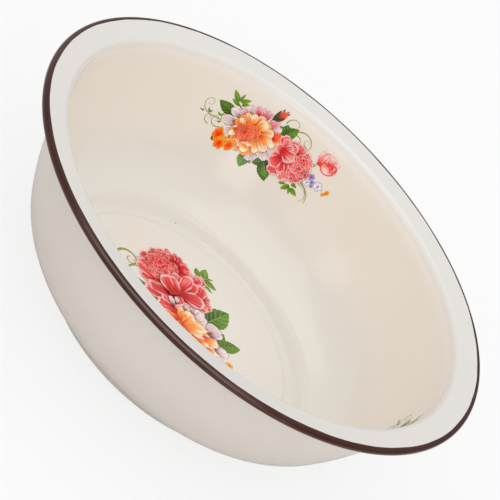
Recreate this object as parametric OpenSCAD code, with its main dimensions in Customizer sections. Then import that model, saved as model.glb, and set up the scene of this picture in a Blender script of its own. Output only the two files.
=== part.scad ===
// Enamelled steel wash basin: one pressed sheet with a rolled rim, coated inside and out,
// with a dark rim coat and flower sprays fired on the inside. Millimetres, +Z up,
// origin on the floor at the centre of the foot.

/* [Overall] */
// Diameter over the rolled rim
rim_d = 360; // [300:0.5:420]
// Height from the floor to the top of the rolled rim
basin_h = 110.6; // [100:0.2:150]

/* [Sheet and coats] */
// Thickness of the pressed steel sheet
sheet_t = 0.6; // [0.4:0.05:1.1]
// Thickness of each enamel coat, ground coat included
coat_t = 0.25; // [0.2:0.05:0.4]
// Thickness of the fired flower transfers
spray_t = 0.2; // [0.15:0.01:0.4]

/* [Rolled rim and flange] */
// Diameter of the rolled bead over its coat
bead_d = 5.3; // [4.5:0.1:9]
// Angle that the sheet turns through in the bead
bead_turn = 285; // [250:1:290]
// How far the flange falls from the bead's top to the mouth
flange_drop = 3.2; // [1.5:0.1:6]
// Width of the flange, from the rim's edge to the mouth where the wall starts
flange_w = 20.7; // [14:0.1:28]
// Bend radius between flange and wall, on the inside face
mouth_r = 5; // [3:0.1:8]

/* [Wall] */
// Knee, where the upper wall starts to draw in: its place from foot to mouth
knee_share = 0.944; // [0.85:0.001:0.98]
// Height of that knee above the floor
knee_h = 68.2; // [58:0.2:78]
// Bend radius of the knee
knee_r = 170; // [60:1:190]
// Heel, where the wall turns under: its place from foot to mouth
heel_share = 0.525; // [0.35:0.001:0.7]
// Height of the heel above the floor
heel_h = 22.6; // [19:0.2:30]
// Bend radius of the heel
heel_r = 45; // [20:1:50]

/* [Foot and base] */
// Top of the foot: its place from foot to mouth
crease_share = 0.069; // [0.04:0.001:0.15]
// Height of the top of the foot above the floor
crease_h = 11.1; // [8:0.1:14]
// Bend radius at the top of the foot
crease_r = 7; // [3:0.1:10]
// Inside diameter at the bottom of the foot
foot_d = 205; // [180:0.2:230]
// Bend radius at the bottom of the foot
foot_r = 3; // [1:0.1:4]
// Width of the flat ring that the basin rests on
rest_w = 7; // [4:0.1:14]
// How far the base panel is pushed up inside the ring
kick_h = 1; // [0.6:0.1:2]
// Width of the slope from the ring to the panel
kick_w = 3; // [2:0.1:6]
// Bend radius at both ends of that slope
kick_r = 3; // [1:0.1:6]

/* [Flower sprays] */
// Bearing of the first wall spray
spray_bearing = 106; // [0:1:360]
// Angle from one wall spray to the next
spray_step = 117.5; // [100:0.5:125]
// Height of the wall sprays' centre line above the floor
spray_h = 74; // [68:0.5:80]
// Length of a wall spray
spray_len = 106; // [80:1:112]
// Length of the base spray, as a share of the base panel's width
base_spray_share = 0.67; // [0.4:0.01:0.72]
// Distance of the base spray's centre from the middle of the panel
base_spray_shift = 16; // [0:0.5:18]
// Bearing of that centre
base_shift_bearing = 108; // [0:1:360]
// Bearing that the base spray lies along, from its peony to its bloom
base_spray_bearing = 310; // [0:1:360]

/* [Hidden] */
$fn = 96;

// Angle between two points of a round bend in the profile
bend_step = 5;
wall_t = sheet_t + 2 * coat_t;
bead_r = bead_d / 2;
bead_centre = [rim_d / 2 - bead_r, basin_h - bead_r];
// Edge of the outer coat, where the rolled bead closes on the flange
seam_x = rim_d / 2 - bead_d;

// Vectors in the profile's plane
function unit(v) = v / norm(v);
function right_of(v) = [v[1], -v[0]];
function cross2(a, b) = a[0] * b[1] - a[1] * b[0];
function polar(r, a) = [r * cos(a), r * sin(a)];

// The flange's face leaves the mouth and touches the bead's circle from below:
// its slope is the bearing of the bead's centre less the angle that the radius takes up
mouth = [rim_d / 2 - flange_w, basin_h - flange_drop];
to_bead = bead_centre - mouth;
flange_slope = atan2(to_bead[1], to_bead[0]) + asin(bead_r / norm(to_bead));
bead_start = 90 + flange_slope;
touch = bead_centre + polar(bead_r, bead_start);

// Corners of the inside face from the axis to the bead, and the bend radius at each
kick_top = [foot_d / 2 - rest_w - kick_w, wall_t + kick_h];
kick_foot = [foot_d / 2 - rest_w, wall_t];
foot = [foot_d / 2, wall_t];
function reach(share) = foot[0] + share * (mouth[0] - foot[0]);
crease = [reach(crease_share), crease_h];
heel = [reach(heel_share), heel_h];
knee = [reach(knee_share), knee_h];
FACE = [[0, kick_top[1]], kick_top, kick_foot, foot, crease, heel, knee, mouth, touch];
BENDS = [0, kick_r, kick_r, foot_r, crease_r, heel_r, knee_r, mouth_r, 0];
LAST = len(FACE) - 1;

// Turn at a corner, positive where the profile bends towards the inside
function turn(p, i) = let (a = unit(p[i] - p[i - 1]), b = unit(p[i + 1] - p[i]))
    sign(cross2(a, b)) * acos(a * b);
// Length of straight that a bend of radius r uses up on each side of its corner
function tangent(p, i, r) = r * tan(abs(turn(p, i)) / 2);
function tangent_at(i) = i == 0 || i == LAST ? 0 : tangent(FACE, i, BENDS[i]);
// Share of its bends that a straight can hold, one where it holds them whole and stays partly flat
most_share = 0.98;
function straight_share(i) =
    min(1, most_share * norm(FACE[i + 1] - FACE[i]) / (tangent_at(i) + tangent_at(i + 1)));
function bend(i) = i == 0 || i == LAST ? 0 : BENDS[i] * min(straight_share(i - 1), straight_share(i));

// Corner i of the face moved outwards by depth, along the mitre of its two sides
function mitre(i, depth) = let (
        before = i == 0 ? FACE[1] - FACE[0] : FACE[i] - FACE[i - 1],
        after = i == LAST ? before : FACE[i + 1] - FACE[i],
        a = right_of(unit(before)),
        b = right_of(unit(after)))
    FACE[i] + depth * (a + b) / (1 + a * b);

// Round bend at corner i, as points on an arc that both sides touch
function arc_at(p, i, r) = let (
        t = turn(p, i),
        side = unit(p[i] - p[i - 1]),
        start = p[i] - side * tangent(p, i, r),
        centre = start - sign(t) * r * right_of(side),
        from = atan2(start[1] - centre[1], start[0] - centre[0]),
        steps = ceil(abs(t) / bend_step))
    [for (k = [0:steps]) centre + polar(r, from + t * k / steps)];

// The whole face at a depth below the inside surface, from the axis to its outer end
function skin(depth) = let (p = [for (i = [0:LAST]) mitre(i, depth)])
    [for (i = [0:LAST])
        each (i == 0 || i == LAST ? [p[i]] : arc_at(p, i, bend(i) + sign(turn(FACE, i)) * depth))];

// The face at a depth, cut off at the seam under the flange
function skin_to_seam(depth) = let (
        p = skin(depth),
        end = p[len(p) - 1],
        before = p[len(p) - 2],
        share = (seam_x - before[0]) / (end[0] - before[0]))
    [for (i = [0:len(p) - 2]) p[i], before + (end - before) * share];

function reverse(p) = [for (i = [len(p) - 1:-1:0]) p[i]];
// Part of the bead's circle, turning outwards and under from the flange
function bead_arc(depth) = let (steps = ceil(bead_turn / bend_step))
    [for (k = [0:steps]) bead_centre + polar(bead_r - depth, bead_start - bead_turn * k / steps)];

// Pressed sheet, with its edge rolled into a hollow bead
module steel_shell() {
    color("dimgray")
    rotate_extrude()
    polygon(concat(skin(coat_t), bead_arc(coat_t), reverse(bead_arc(coat_t + sheet_t)),
                   reverse(skin(coat_t + sheet_t))));
}

// Cream coat over the base, wall and flange
module inner_enamel() {
    color("seashell")
    rotate_extrude()
    polygon(concat(skin(0), reverse(skin(coat_t))));
}

// Cream coat under the base, round the wall and under the flange
module outer_enamel() {
    color("antiquewhite")
    rotate_extrude()
    polygon(concat(skin_to_seam(wall_t - coat_t), reverse(skin_to_seam(wall_t))));
}

// Dark coat round the rolled bead
module rim_enamel() {
    color("#3b2720")
    rotate_extrude()
    polygon(concat(bead_arc(0), reverse(bead_arc(coat_t))));
}

// Flower head: a heart with a ring of round petals, each lapping its neighbours
petal_lap_share = 0.75;
module flower(r, petals) {
    lap = 2 * petal_lap_share * sin(180 / petals);
    petal_r = r * lap / (1 + lap);
    circle(r - petal_r);
    for (k = [0:petals - 1])
        rotate(k * 360 / petals)
        translate([r - petal_r, 0])
        circle(petal_r);
}

// Leaf from the origin along +X: the lens between two circles
leaf_width_share = 0.48;
module leaf(length) {
    half_w = length * leaf_width_share / 2;
    r = (length * length / 4 + half_w * half_w) / (2 * half_w);
    intersection() {
        translate([length / 2, r - half_w])
        circle(r);
        translate([length / 2, half_w - r])
        circle(r);
    }
}

// Heads of the wall spray: place and radius as shares of half its length, and the count of petals
wall_head_shares = [
    [-0.34, -0.05, 0.41, 13], [0.38, -0.08, 0.30, 10], [0.74, 0.26, 0.16, 7],
    [-0.70, -0.33, 0.10, 5], [-0.58, -0.42, 0.09, 5], [-0.47, -0.36, 0.08, 5],
    [0.72, -0.02, 0.06, 4], [0.76, -0.10, 0.06, 4], [0.88, -0.05, 0.06, 4], [1.02, -0.06, 0.05, 4],
];
// Leaves and the bud: place of the stalk's end, bearing, and length as a share of the same
wall_leaf_shares = [
    [-0.68, 0.00, 162, 0.31], [0.04, 0.13, 63, 0.25], [0.02, 0.13, 104, 0.19],
    [-0.60, 0.14, 144, 0.32], [-0.70, 0.18, 103, 0.16], [-0.70, 0.18, 47, 0.17],
    [-0.13, -0.30, 256, 0.23], [0.00, -0.26, 321, 0.36],
    [0.62, -0.25, 212, 0.21], [0.62, -0.25, 241, 0.19], [0.60, -0.28, 342, 0.15],
    [-0.18, 0.26, 66, 0.23],
];
// The same two tables for the base spray
base_head_shares = [
    [-0.37, -0.01, 0.48, 11], [0.34, -0.02, 0.42, 13], [0.65, 0.55, 0.06, 5],
    [0.49, -0.52, 0.10, 5], [0.68, -0.47, 0.09, 5], [0.84, 0.18, 0.06, 4], [0.98, 0.19, 0.06, 4],
];
base_leaf_shares = [
    [0.09, 0.28, 121, 0.55], [0.35, 0.40, 95, 0.41], [-0.07, -0.26, 245, 0.37],
    [-0.53, 0.35, 147, 0.33], [-0.54, 0.35, 77, 0.28], [-0.50, 0.35, 181, 0.27], [-0.52, 0.33, 52, 0.27],
    [0.30, -0.32, 253, 0.42], [0.70, -0.10, 355, 0.39],
];

// Outline of a spray round its own centre, its length along +X
module spray_outline(half, head_shares, leaf_shares) {
    for (s = head_shares)
        translate([s[0] * half, s[1] * half])
        flower(s[2] * half, s[3]);
    for (s = leaf_shares)
        translate([s[0] * half, s[1] * half])
        rotate(s[2])
        leaf(s[3] * half);
}

// Transfer on the wall: the skin just inside the face, trimmed to the outline
module wall_spray(index) {
    color("coral")
    rotate(spray_bearing + spray_step * index)
    intersection() {
        rotate_extrude()
        polygon(concat(skin(-spray_t), reverse(skin(0))));
        translate([foot[0] / 2, 0, spray_h])
        rotate([90, 0, 90])
        linear_extrude(mouth[0])
        mirror([1, 0])
        spray_outline(spray_len / 2, wall_head_shares, wall_leaf_shares);
    }
}
module wall_spray_1() wall_spray(0);
module wall_spray_2() wall_spray(1);
module wall_spray_3() wall_spray(2);

// Transfer on the base panel
module base_spray() {
    color("coral")
    translate(concat(polar(base_spray_shift, base_shift_bearing), kick_top[1]))
    rotate(base_spray_bearing)
    linear_extrude(spray_t)
    spray_outline(kick_top[0] * base_spray_share, base_head_shares, base_leaf_shares);
}

steel_shell();
inner_enamel();
outer_enamel();
rim_enamel();
wall_spray_1();
wall_spray_2();
wall_spray_3();
base_spray();
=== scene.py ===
"""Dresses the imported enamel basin: glossy cream coats, a dark brown rolled rim and flower transfers.

Every surface is worked out from the basin's own profile, in metres, around the fixed frame.
"""

import math
from types import SimpleNamespace

import bpy
import numpy as np
from mathutils import Matrix, Vector


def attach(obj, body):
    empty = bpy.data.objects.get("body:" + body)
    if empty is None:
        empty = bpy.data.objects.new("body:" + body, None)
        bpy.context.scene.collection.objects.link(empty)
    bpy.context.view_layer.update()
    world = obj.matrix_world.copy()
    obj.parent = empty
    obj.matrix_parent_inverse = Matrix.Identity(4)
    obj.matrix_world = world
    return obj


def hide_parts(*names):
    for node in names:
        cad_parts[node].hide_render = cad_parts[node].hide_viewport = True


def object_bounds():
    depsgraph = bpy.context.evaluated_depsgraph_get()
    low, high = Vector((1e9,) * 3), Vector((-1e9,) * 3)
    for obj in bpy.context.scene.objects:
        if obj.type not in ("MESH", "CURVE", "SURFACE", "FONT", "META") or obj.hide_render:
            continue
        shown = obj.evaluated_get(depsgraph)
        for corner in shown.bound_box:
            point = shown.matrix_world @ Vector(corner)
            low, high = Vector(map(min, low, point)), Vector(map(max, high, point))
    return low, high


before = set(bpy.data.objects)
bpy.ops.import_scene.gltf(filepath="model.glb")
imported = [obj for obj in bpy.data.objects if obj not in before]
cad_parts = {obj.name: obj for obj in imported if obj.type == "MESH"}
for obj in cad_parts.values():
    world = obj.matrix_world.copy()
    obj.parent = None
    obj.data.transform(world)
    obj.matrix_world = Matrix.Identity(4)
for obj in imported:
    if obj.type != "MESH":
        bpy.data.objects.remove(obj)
CAD_BOX = [[float(v) for v in corner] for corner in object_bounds()]

MM = 0.001

# Driving sizes of the basin's section, the same as in the solids
BASIN_H = CAD_BOX[1][2]
RIM_R = 180.0 * MM
SHEET_T = 0.6 * MM
COAT_T = 0.25 * MM
WALL_T = SHEET_T + 2 * COAT_T
BEAD_R = 2.65 * MM
BEAD_TURN = math.radians(285)
MOUTH = np.array([159.3 * MM, BASIN_H - 3.2 * MM])
KNEE = np.array([156.1, 68.2]) * MM
HEEL = np.array([132.3, 22.6]) * MM
CREASE = np.array([106.4, 11.1]) * MM
FOOT_R = 102.5 * MM
REST_W = 7.0 * MM
KICK_H = 1.0 * MM
KICK_W = 3.0 * MM
# Bend radius at each corner of the face, the angle between two points of a bend, and the points round
# the axis
BENDS = np.array([0, 3, 3, 3, 7, 45, 170, 5, 0]) * MM
BEND_STEP = math.radians(3)
SEGMENTS = 384

# The two ends of the flange's face
BEAD_CENTRE = np.array([RIM_R - BEAD_R, BASIN_H - BEAD_R])
TO_BEAD = BEAD_CENTRE - MOUTH
FLANGE_SLOPE = math.atan2(TO_BEAD[1], TO_BEAD[0]) + math.asin(BEAD_R / np.hypot(*TO_BEAD))
BEAD_START = math.pi / 2 + FLANGE_SLOPE


def polar(radius, angle):
    """Points at an angle from +X: radius times cosine, radius times sine."""
    return np.stack([radius * np.cos(angle), radius * np.sin(angle)], axis=-1)


TOUCH = BEAD_CENTRE + polar(BEAD_R, BEAD_START)
SEAM_R = RIM_R - 2 * BEAD_R
FACE = np.array([
    [0, WALL_T + KICK_H],
    [FOOT_R - REST_W - KICK_W, WALL_T + KICK_H],
    [FOOT_R - REST_W, WALL_T],
    [FOOT_R, WALL_T],
    CREASE, HEEL, KNEE, MOUTH, TOUCH,
])


def right_of(v):
    """The vector turned a quarter to its right."""
    return np.array([v[1], -v[0]])


def skin(depth):
    """Section of the inside face moved outwards by depth: straights joined by arcs that touch both."""
    sides = np.diff(FACE, axis=0)
    sides /= np.linalg.norm(sides, axis=1)[:, None]
    points = [FACE[0] + depth * right_of(sides[0])]
    for i in range(1, len(FACE) - 1):
        before, after = sides[i - 1], sides[i]
        turn = math.atan2(before[0] * after[1] - before[1] * after[0], before @ after)
        radius = BENDS[i] + math.copysign(depth, turn)
        mitre = (right_of(before) + right_of(after)) / (1 + before @ after)
        start = FACE[i] + depth * mitre - before * radius * math.tan(abs(turn) / 2)
        centre = start - math.copysign(radius, turn) * right_of(before)
        first = math.atan2(*(start - centre)[::-1])
        count = max(2, math.ceil(abs(turn) / BEND_STEP) + 1)
        points.extend(centre + polar(radius, np.linspace(first, first + turn, count)))
    points.append(FACE[-1] + depth * right_of(sides[-1]))
    return np.array(points)


def skin_to_seam(depth):
    """The same section, cut off under the flange where the rolled bead closes on it."""
    points = skin(depth)
    last, before = points[-1], points[-2]
    points[-1] = before + (last - before) * (SEAM_R - before[0]) / (last[0] - before[0])
    return points


SHARP_ANGLE = math.radians(30)


def mesh_piece(name, verts, quads, tris=()):
    """A mesh object from whole arrays of vertices, quads and triangles, smooth below an angle."""
    mesh = bpy.data.meshes.new(name)
    mesh.vertices.add(len(verts))
    mesh.vertices.foreach_set("co", np.asarray(verts, float).ravel())
    corners = np.concatenate([np.asarray(faces, int).ravel() for faces in (quads, tris)])
    mesh.loops.add(len(corners))
    mesh.loops.foreach_set("vertex_index", corners)
    totals = np.repeat([4, 3], [len(quads), len(tris)])
    mesh.polygons.add(len(totals))
    mesh.polygons.foreach_set("loop_start", np.concatenate([[0], np.cumsum(totals)[:-1]]))
    mesh.polygons.foreach_set("loop_total", totals)
    mesh.polygons.foreach_set("use_smooth", np.ones(len(totals), bool))
    mesh.update(calc_edges=True)
    mesh.validate()
    mesh.set_sharp_from_angle(angle=SHARP_ANGLE)
    piece = bpy.data.objects.new(name, mesh)
    bpy.context.scene.collection.objects.link(piece)
    return piece


def grid_quads(rows, cols, rows_close, cols_close):
    """Quads of a grid of points, whose last row or column may join on to its first."""
    row, col = np.meshgrid(np.arange(rows - (not rows_close)), np.arange(cols - (not cols_close)),
                           indexing="ij")
    row_on, col_on = (row + 1) % rows, (col + 1) % cols
    return np.stack([row * cols + col, row * cols + col_on, row_on * cols + col_on, row_on * cols + col],
                    axis=-1).reshape(-1, 4)


def turned(radius, height):
    """Points of grids of radius and height turned about Z, one column for each bearing."""
    around = np.arange(radius.shape[1]) * 2 * math.pi / radius.shape[1]
    return np.stack([radius * np.cos(around), radius * np.sin(around), height], axis=-1).reshape(-1, 3)


def dish(name, outline):
    """An outline of (radius, height) points, from axis to axis, turned about Z and closed at both poles."""
    rows = np.repeat(outline[1:-1, :, None], SEGMENTS, axis=2)
    verts = np.vstack([turned(rows[:, 0], rows[:, 1]), [[0, 0, outline[0, 1]], [0, 0, outline[-1, 1]]]])
    ring = np.arange(SEGMENTS)
    onward = np.roll(ring, -1)
    first, last = len(verts) - 2, len(verts) - 1
    end = first - SEGMENTS
    tris = np.vstack([np.c_[ring, onward, np.full(SEGMENTS, first)],
                      np.c_[end + onward, end + ring, np.full(SEGMENTS, last)]])
    return mesh_piece(name, verts, grid_quads(len(rows), SEGMENTS, False, True)[:, ::-1], tris)


# Hand-run edge of the brown coat on the flange: waves round the rim, their height in mm and phase
LIP_W = 0.5 * MM
LIP_WAVES = [(5, 0.12, 0.4), (13, 0.10, 2.1), (29, 0.08, 4.0), (61, 0.04, 1.2)]
LIP_LIFT = 0.05 * MM
LIP_POINTS = 6
# Points of an arc round the bead and round the rim, and how fast the lip's lift dies out on the bead
BEAD_POINTS = 60
RIM_SEGMENTS = 512
BEAD_FADE = 24


def rim_coat():
    """Brown coat, a closed ring: an arc round the bead that starts on the flange in a thin rounded lip,
    whose width wavers round the rim as a sum of sines, and a second arc inside it."""
    around = np.arange(RIM_SEGMENTS) * 2 * math.pi / RIM_SEGMENTS
    width = LIP_W + sum(height * np.sin(count * around + phase) for count, height, phase in LIP_WAVES) * MM
    along, up = polar(1.0, FLANGE_SLOPE), polar(1.0, BEAD_START)
    share = np.linspace(0, 1, LIP_POINTS)[:, None]
    back = width[None] * (1 - share)
    lift = LIP_LIFT * np.sqrt(1 - (1 - share) ** 2) * np.ones_like(back)
    lip = TOUCH - along * back[..., None] + up * lift[..., None]
    turn = BEAD_START - BEAD_TURN * np.linspace(0, 1, BEAD_POINTS)
    fade = np.exp(-np.linspace(0, BEAD_FADE, BEAD_POINTS))
    outer = BEAD_CENTRE + polar(BEAD_R + LIP_LIFT * fade, turn)
    inner = BEAD_CENTRE + polar(BEAD_R - COAT_T, turn)[::-1]
    ring = np.concatenate([lip[:-1], np.repeat(outer[:, None], RIM_SEGMENTS, 1),
                           np.repeat(inner[:, None], RIM_SEGMENTS, 1)])[::-1]
    verts = turned(ring[..., 0], np.minimum(ring[..., 1], BASIN_H))
    return mesh_piece("rim_coat", verts, grid_quads(len(ring), RIM_SEGMENTS, True, True))


class Nodes:
    """Shorthand for building a node tree."""

    def __init__(self, tree):
        self.tree = tree

    def add(self, kind, inputs=None, **settings):
        """A node with its settings, and its inputs linked or set."""
        node = self.tree.nodes.new(kind)
        for key, value in settings.items():
            setattr(node, key, value)
        for key, value in (inputs or {}).items():
            if isinstance(value, bpy.types.NodeSocket):
                self.link(value, node, key)
            else:
                node.inputs[key].default_value = value
        return node

    def link(self, value, node, key):
        self.tree.links.new(value, node.inputs[key])

    def math(self, operation, *values, clamp=False):
        return self.add("ShaderNodeMath", dict(enumerate(values)), operation=operation,
                        use_clamp=clamp).outputs[0]

    def times(self, product, *factors):
        """All the values multiplied."""
        for factor in factors:
            product = self.math("MULTIPLY", product, factor)
        return product

    def scaled(self, value, scale, shift):
        return self.math("MULTIPLY_ADD", value, scale, shift)

    def between(self, share, low, high):
        """Goes evenly from low to high."""
        return self.math("ADD", self.times(share, self.math("SUBTRACT", high, low)), low)

    def ramp(self, value, low, high):
        """Goes smoothly from nought at low to one at high."""
        inputs = {"Value": value, "From Min": low, "From Max": high}
        return self.add("ShaderNodeMapRange", inputs, interpolation_type="SMOOTHSTEP").outputs[0]

    def band(self, value, start, full, fall, end):
        """One from full to fall, and nought before start and after end."""
        return self.times(self.ramp(value, start, full), self.ramp(value, end, fall))

    def mix(self, share, first, second):
        return self.add("ShaderNodeMix", {"Factor": share, 6: first, 7: second}, data_type="RGBA").outputs[2]

    def place(self):
        return self.add("ShaderNodeTexCoord").outputs["Object"]

    def split(self, vector):
        return self.add("ShaderNodeSeparateXYZ", {0: vector}).outputs

    def noise(self, where, scale, detail):
        inputs = {"Vector": where, "Scale": scale, "Detail": detail}
        return self.add("ShaderNodeTexNoise", inputs).outputs[0]

    def from_axis(self, x, y):
        """Distance from the basin's axis: the root of x squared plus y squared."""
        return self.math("SQRT", self.math("ADD", self.math("POWER", x, 2.0), self.math("POWER", y, 2.0)))

    def glaze(self, shader, tone, roughness, ior, specular=0.5):
        """Fired glass skin: its tone, roughness, refractive index and how strongly it mirrors."""
        self.link(tone, shader, "Base Color")
        for key, value in (("Roughness", roughness), ("IOR", ior), ("Specular IOR Level", specular)):
            shader.inputs[key].default_value = value


def material(name):
    """A fresh material, its nodes and its Principled shader."""
    made = bpy.data.materials.new(name)
    made.use_nodes = True
    return made, Nodes(made.node_tree), made.node_tree.nodes["Principled BSDF"]


# Fired surface: scale of the tone's drifts; detail of noises and of the drifts; specks by their cells,
# their size and the random value from which a cell has one; and scales of the orange peel, with the
# share of the fine one
DRIFT_SCALE = 9.0
NOISE_DETAIL, DRIFT_DETAIL = 2.0, 3.0
SPECK_CELLS = 60.0
SPECK_SIZE = (0.055, 0.025)
SPECK_CHOSEN = (0.93, 0.95)
PEEL_BROAD, PEEL_FINE = 45.0, 320.0
PEEL_FINE_SHARE = 0.12


def fired_surface_group():
    """Shared finish of every fired coat: slow drifts of tone, pin specks and the faint orange peel
    of the glaze, all on Object coordinates."""
    group = bpy.data.node_groups.new("fired surface", "ShaderNodeTree")
    for label, way in (("Speck", "INPUT"), ("Drift", "OUTPUT"), ("Speck", "OUTPUT"), ("Height", "OUTPUT")):
        group.interface.new_socket(label, in_out=way, socket_type="NodeSocketFloat")
    n = Nodes(group)
    wanted = n.add("NodeGroupInput").outputs["Speck"]
    place = n.place()
    drift = n.noise(place, DRIFT_SCALE, DRIFT_DETAIL)
    cells = n.add("ShaderNodeTexVoronoi", {"Vector": place, "Scale": SPECK_CELLS}, feature="F1").outputs
    kind = n.add("ShaderNodeSeparateColor", {0: cells["Color"]}).outputs[0]
    speck = n.times(n.ramp(cells["Distance"], *SPECK_SIZE), n.ramp(kind, *SPECK_CHOSEN), wanted)
    broad, fine = (n.noise(place, scale, NOISE_DETAIL) for scale in (PEEL_BROAD, PEEL_FINE))
    height = n.scaled(fine, PEEL_FINE_SHARE, broad)
    n.add("NodeGroupOutput", {"Drift": drift, "Speck": speck, "Height": height})
    return group


FIRED = fired_surface_group()

# Colours of the coats
CREAM = (0.848, 0.790, 0.705, 1)
CREAM_DEEP = (0.830, 0.766, 0.680, 1)
CREAM_LOW = (0.812, 0.776, 0.712, 1)
CREAM_HIGH = (0.864, 0.816, 0.755, 1)
# Lighter cream painted over the hollow round the foot as painted light.
CREAM_PAINTED_LIGHT = (0.862, 0.828, 0.770, 1)
# Paler cream of the flange, painted darker as shade against the light on the flange and mouth bend.
FLANGE_PALE_SHADED = (0.745, 0.718, 0.682, 1)
OUTER = (0.700, 0.638, 0.575, 1)
OUTER_DEEP = (0.674, 0.612, 0.550, 1)
SPECK = (0.10, 0.085, 0.07, 1)
BROWN = (0.044, 0.0125, 0.0080, 1)
BROWN_THIN = (0.085, 0.034, 0.026, 1)
# The lighter brown of the crest is a painted highlight.
BROWN_PAINTED_HIGHLIGHT = (0.125, 0.083, 0.073, 1)
GROUND, GROUND_LIGHT = (0.012, 0.013, 0.018, 1), (0.03, 0.03, 0.036, 1)
# The ground coat's grain, and its roughness and refractive index
GROUND_GRAIN, GROUND_GLOSS = 200.0, (0.4, 1.5)

# Where they change: by drift; by height low down, high up, and from the mouth bend onto the flange, where
# painted shade comes in; by radius over the foot, where painted light comes in
DRIFT_SPAN = (0.3, 0.7)
LOW_SPAN = (65 * MM, 15 * MM)
HIGH_SPAN = (94 * MM, 102 * MM)
FLANGE_SHADE_SPAN = (float(MOUTH[1]) - 6.0 * MM, float(MOUTH[1]) + 0.6 * MM)
FOOT_LIGHT_BAND = (102 * MM, 103.5 * MM, 105.5 * MM, 107.5 * MM)
# The same for the rim: by drift where it is thin; a painted highlight along the crest by radius, height,
# turn and drift
THIN_SPAN = (0.45, 0.75)
HIGHLIGHT_BAND = (178.5 * MM, 179.0 * MM, 179.5 * MM, 179.9 * MM)
HIGHLIGHT_HEIGHTS = (108.6 * MM, 109.2 * MM)
HIGHLIGHT_BEARING = math.radians(268)
HIGHLIGHT_STRETCHES = 3
HIGHLIGHT_TURN_SPAN, HIGHLIGHT_DRIFT = (0.0, 0.8), (0.1, 0.5)


def inside_tone(n, drift):
    """Cream, whiter high up the wall, with painted shade from the mouth bend over the paler flange and
    painted light in a band round the foot.
    """
    x, y, z = n.split(n.place())
    tone = n.mix(n.ramp(drift, *DRIFT_SPAN), CREAM, CREAM_DEEP)
    tone = n.mix(n.ramp(z, *LOW_SPAN), tone, CREAM_LOW)
    tone = n.mix(n.ramp(z, *HIGH_SPAN), tone, CREAM_HIGH)
    # Painted light: a lighter band over the hollow round the foot.
    tone = n.mix(n.band(n.from_axis(x, y), *FOOT_LIGHT_BAND), tone, CREAM_PAINTED_LIGHT)
    # Painted shade: a darker, paler cream from the mouth bend over the flange.
    return n.mix(n.ramp(z, *FLANGE_SHADE_SPAN), tone, FLANGE_PALE_SHADED)


def outside_tone(n, drift):
    """A little greyer cream."""
    return n.mix(n.ramp(drift, *DRIFT_SPAN), OUTER, OUTER_DEEP)


def rim_tone(n, drift):
    """Dark brown, a little thinner and redder in patches. A painted highlight lightens the crest along three
    stretches, a third of a turn apart, one of them at a bearing of 268 degrees."""
    x, y, z = n.split(n.place())
    tone = n.mix(n.ramp(drift, *THIN_SPAN), BROWN, BROWN_THIN)
    # Painted highlight along the crest, strongest in three stretches round the rim.
    highlight_place = n.times(n.band(n.from_axis(x, y), *HIGHLIGHT_BAND), n.ramp(z, *HIGHLIGHT_HEIGHTS))
    turn = n.scaled(n.math("ARCTAN2", y, x), HIGHLIGHT_STRETCHES, -HIGHLIGHT_STRETCHES * HIGHLIGHT_BEARING)
    highlight_stretch = n.times(n.ramp(n.math("COSINE", turn), *HIGHLIGHT_TURN_SPAN), n.ramp(drift, *HIGHLIGHT_DRIFT))
    return n.mix(n.times(highlight_place, highlight_stretch), tone, BROWN_PAINTED_HIGHLIGHT)


def coat_material(name, tone_of, specks, strength, depth, *gloss):
    """A fired coat: its tone, its specks and its gloss over the orange peel."""
    made, n, shader = material(name)
    fired = n.add("ShaderNodeGroup", {"Speck": specks}, node_tree=FIRED).outputs
    n.glaze(shader, n.mix(fired["Speck"], tone_of(n, fired["Drift"]), SPECK), *gloss)
    bump = n.add("ShaderNodeBump", {"Height": fired["Height"], "Strength": strength, "Distance": depth})
    n.link(bump.outputs[0], shader, "Normal")
    return made


def steel_material():
    """Ground-coated steel, which only shows in the seam under the bead."""
    made, n, shader = material("ground coat")
    grain = n.noise(n.place(), GROUND_GRAIN, NOISE_DETAIL)
    n.glaze(shader, n.mix(grain, GROUND, GROUND_LIGHT), *GROUND_GLOSS)
    return made


def paint(piece, made):
    """Gives a piece one material."""
    piece.data.materials.clear()
    piece.data.materials.append(made)


# Each coat's node, slot and material: its name, tone, share of specks, strength and height of its
# orange peel, roughness, refractive index and how strongly it mirrors
COATS = (
    ("inner_enamel", "cream_enamel",
     "cream glaze inside", inside_tone, 1, 0.35, 0.16 * MM, 0.14, 1.52, 0.5),
    ("outer_enamel", "outer_cream_enamel",
     "cream glaze outside", outside_tone, 1, 0.35, 0.2 * MM, 0.16, 1.52, 0.5),
    ("rim_enamel", "brown_enamel", "brown glaze", rim_tone, 0, 0.5, 0.3 * MM, 0.1, 1.5, 0.26),
)


def build_coats():
    """The cream coats and the brown rim, on fine round surfaces."""
    inner = dish("inner_coat", np.concatenate([skin(0), skin(COAT_T)[::-1]]))
    outer = dish("outer_coat", np.concatenate([skin_to_seam(WALL_T - COAT_T), skin_to_seam(WALL_T)[::-1]]))
    for piece, (node, slot, *finish) in zip((inner, outer, rim_coat()), COATS):
        paint(piece, coat_material(*finish))
        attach(piece, "root")
        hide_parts(node)
    paint(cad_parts["steel_shell"], steel_material())


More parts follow.
